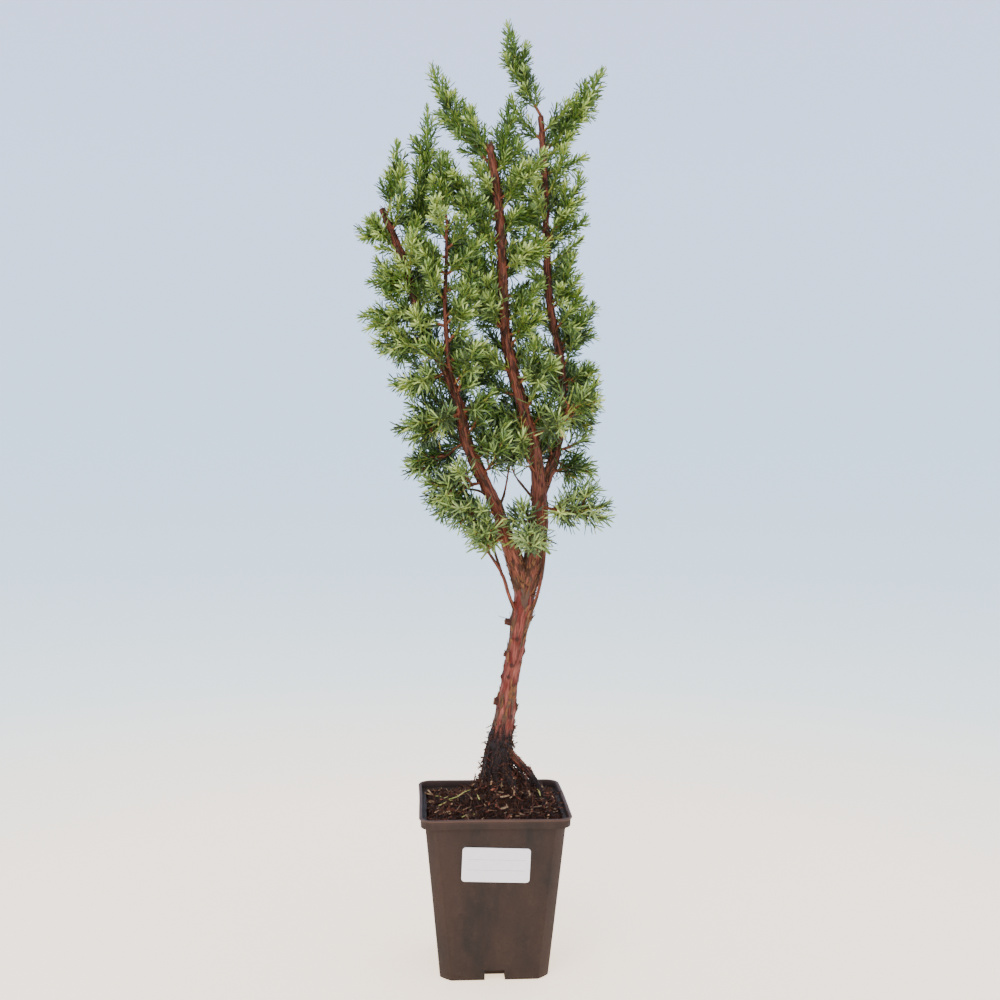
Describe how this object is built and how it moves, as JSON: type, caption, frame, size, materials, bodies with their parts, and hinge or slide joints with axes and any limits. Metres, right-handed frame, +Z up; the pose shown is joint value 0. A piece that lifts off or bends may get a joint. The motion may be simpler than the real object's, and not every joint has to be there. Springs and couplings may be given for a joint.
{
  "type": "potted kishu juniper bonsai",
  "caption": "Young upright juniper bonsai with a slim forked trunk, cut limb tips and a narrow feathery crown of short needles, in a square tapered nursery pot of soil.",
  "frame": {"origin": "middle of the pot's flat underside", "axes": "+Z up, -Y towards the side with the label"},
  "size_m": [0.1622, 0.1106, 0.5738],
  "materials": {
    "pot_plastic": "dull dark brown-grey recycled plastic, a little worn",
    "soil": "moist dark peat with bark fibres",
    "label": "bare white sticker with rounded corners",
    "bark": "flaking red-brown bark",
    "twig": "bare grey-brown twigs",
    "foliage": "awl-shaped green needles"
  },
  "bodies": {
    "root": {"centre_foliage_01": "foliage", "centre_foliage_02": "foliage", "centre_foliage_03": "foliage", "centre_foliage_04": "foliage", "centre_foliage_05": "foliage", "centre_foliage_06": "foliage", "centre_foliage_07": "foliage", "centre_foliage_08": "foliage", "centre_foliage_09": "foliage", "centre_foliage_10": "foliage", "centre_foliage_11": "foliage", "centre_foliage_12": "foliage", "centre_foliage_13": "foliage", "centre_foliage_14": "foliage", "centre_foliage_15": "foliage", "centre_foliage_16": "foliage", "centre_foliage_17": "foliage", "centre_foliage_18": "foliage", "centre_foliage_19": "foliage", "centre_foliage_20": "foliage", "centre_limb": "bark", "label": "label", "left_foliage_01": "foliage", "left_foliage_02": "foliage", "left_foliage_03": "foliage", "left_foliage_04": "foliage", "left_foliage_05": "foliage", "left_foliage_06": "foliage", "left_foliage_07": "foliage", "left_foliage_08": "foliage", "left_foliage_09": "foliage", "left_foliage_10": "foliage", "left_foliage_11": "foliage", "left_foliage_12": "foliage", "left_foliage_13": "foliage", "left_foliage_14": "foliage", "left_foliage_15": "foliage", "left_limb": "bark", "pot": "pot_plastic", "right_foliage_01": "foliage", "right_foliage_02": "foliage", "right_foliage_03": "foliage", "right_foliage_04": "foliage", "right_foliage_05": "foliage", "right_foliage_06": "foliage", "right_foliage_07": "foliage", "right_foliage_08": "foliage", "right_foliage_09": "foliage", "right_foliage_10": "foliage", "right_foliage_11": "foliage", "right_limb": "bark", "soil": "soil", "thin_foliage_01": "foliage", "thin_foliage_02": "foliage", "thin_foliage_03": "foliage", "thin_limb": "bark", "trunk": "bark", "twig_left": "twig", "twig_right": "twig"}
  },
  "joints": []
}
